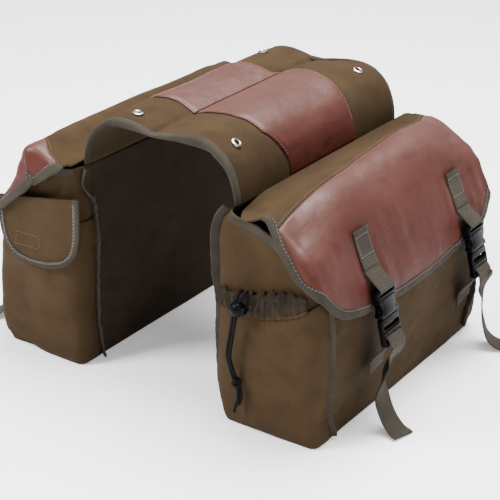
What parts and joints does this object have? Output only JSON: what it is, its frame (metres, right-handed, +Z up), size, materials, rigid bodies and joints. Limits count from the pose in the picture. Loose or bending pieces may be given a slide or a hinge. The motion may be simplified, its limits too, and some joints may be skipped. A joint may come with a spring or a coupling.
{
  "type": "saddle bag",
  "caption": "Soft canvas and leather double saddle bag whose box bags hang either side of a padded bridge, with buckled lids, a drawcord pocket and a flap pocket on each bag",
  "frame": {"origin": "on the floor at the middle of the footprint, midway between the two bags", "axes": "+X points at one bag's outer face and -X at the other's, Y runs along the bags, +Z is up"},
  "size_m": [0.6162, 0.4664, 0.3432],
  "materials": {
    "canvas": "olive brown plain-weave canvas",
    "leather": "soft wrinkled reddish brown synthetic leather",
    "tape": "warm grey woven binding tape",
    "webbing": "warm grey ribbed webbing",
    "grey_lining": "gathered thin grey brown lining",
    "buckle_plastic": "glossy black moulded plastic",
    "cord": "black braided cord",
    "nickel": "rolled nickel-plated ring"
  },
  "bodies": {
    "root": {"right_back_panel": "canvas", "right_front_panel": "canvas", "right_bottom_panel": "canvas", "right_end_panel_cord": "canvas", "right_end_panel_flap": "canvas", "right_cord_pocket": "canvas", "right_flap_pocket": "canvas", "right_cord_pocket_collar": "grey_lining", "right_drawcord": "cord", "right_strap_lower_1": "webbing", "right_strap_lower_2": "webbing", "left_back_panel": "canvas", "left_front_panel": "canvas", "left_bottom_panel": "canvas", "left_end_panel_cord": "canvas", "left_end_panel_flap": "canvas", "left_cord_pocket": "canvas", "left_flap_pocket": "canvas", "left_cord_pocket_collar": "grey_lining", "left_drawcord": "cord", "left_strap_lower_1": "webbing", "left_strap_lower_2": "webbing", "bridge_pad": "canvas", "bridge_leather_patch": "leather", "eyelet_1": "nickel", "eyelet_2": "nickel", "eyelet_3": "nickel", "eyelet_4": "nickel", "edge_binding_near": "tape", "edge_binding_far": "tape"},
    "right_lid": {"right_lid_canvas": "canvas", "right_lid_leather": "leather", "right_lid_binding": "tape", "right_strap_upper_1": "webbing", "right_strap_upper_2": "webbing", "right_buckle_female_1": "buckle_plastic", "right_buckle_female_2": "buckle_plastic"},
    "right_pocket_lid": {"right_pocket_lid": "canvas"},
    "right_cord_lock": {"right_cord_lock_body": "buckle_plastic"},
    "right_cord_lock_button": {"right_cord_lock_button": "buckle_plastic"},
    "right_buckle_male_1": {"right_buckle_male_1": "buckle_plastic", "right_buckle_prongs_1": "buckle_plastic"},
    "right_buckle_male_2": {"right_buckle_male_2": "buckle_plastic", "right_buckle_prongs_2": "buckle_plastic"},
    "left_lid": {"left_lid_canvas": "canvas", "left_lid_leather": "leather", "left_lid_binding": "tape", "left_strap_upper_1": "webbing", "left_strap_upper_2": "webbing", "left_buckle_female_1": "buckle_plastic", "left_buckle_female_2": "buckle_plastic"},
    "left_pocket_lid": {"left_pocket_lid": "canvas"},
    "left_cord_lock": {"left_cord_lock_body": "buckle_plastic"},
    "left_cord_lock_button": {"left_cord_lock_button": "buckle_plastic"},
    "left_buckle_male_1": {"left_buckle_male_1": "buckle_plastic", "left_buckle_prongs_1": "buckle_plastic"},
    "left_buckle_male_2": {"left_buckle_male_2": "buckle_plastic", "left_buckle_prongs_2": "buckle_plastic"}
  },
  "joints": [
    {"name": "right_lid_hinge", "type": "hinge", "parent": "root", "child": "right_lid", "pos_m": [0.115, 0, 0.272], "axis": [0, -1, 0], "range_deg": [0, 75]},
    {"name": "right_pocket_lid_hinge", "type": "hinge", "parent": "root", "child": "right_pocket_lid", "pos_m": [0.172, 0.211, 0.222], "axis": [1, 0, 0], "range_deg": [0, 80]},
    {"name": "right_buckle_1_release", "type": "slide", "parent": "root", "child": "right_buckle_male_1", "axis": [0.2588, 0, -0.9659], "range_m": [0, 0.022], "deforming": ["right_buckle_prongs_1", "right_strap_lower_1"]},
    {"name": "right_buckle_2_release", "type": "slide", "parent": "root", "child": "right_buckle_male_2", "axis": [0.2588, 0, -0.9659], "range_m": [0, 0.022], "deforming": ["right_buckle_prongs_2", "right_strap_lower_2"]},
    {"name": "right_cord_lock_slide", "type": "slide", "parent": "root", "child": "right_cord_lock", "axis": [-0.158, 0, -0.9874], "range_m": [0, 0.045]},
    {"name": "right_cord_lock_press", "type": "slide", "parent": "right_cord_lock", "child": "right_cord_lock_button", "axis": [-1, 0, 0], "range_m": [0, 0.0018], "stiffness_N_per_m": 300, "springref_m": -0.001},
    {"name": "left_lid_hinge", "type": "hinge", "parent": "root", "child": "left_lid", "pos_m": [-0.115, 0, 0.272], "axis": [0, 1, 0], "range_deg": [0, 75]},
    {"name": "left_pocket_lid_hinge", "type": "hinge", "parent": "root", "child": "left_pocket_lid", "pos_m": [-0.172, -0.211, 0.222], "axis": [-1, 0, 0], "range_deg": [0, 80]},
    {"name": "left_buckle_1_release", "type": "slide", "parent": "root", "child": "left_buckle_male_1", "axis": [-0.2588, 0, -0.9659], "range_m": [0, 0.022], "deforming": ["left_buckle_prongs_1", "left_strap_lower_1"]},
    {"name": "left_buckle_2_release", "type": "slide", "parent": "root", "child": "left_buckle_male_2", "axis": [-0.2588, 0, -0.9659], "range_m": [0, 0.022], "deforming": ["left_buckle_prongs_2", "left_strap_lower_2"]},
    {"name": "left_cord_lock_slide", "type": "slide", "parent": "root", "child": "left_cord_lock", "axis": [0.158, 0, -0.9874], "range_m": [0, 0.045]},
    {"name": "left_cord_lock_press", "type": "slide", "parent": "left_cord_lock", "child": "left_cord_lock_button", "axis": [1, 0, 0], "range_m": [0, 0.0018], "stiffness_N_per_m": 300, "springref_m": -0.001}
  ]
}
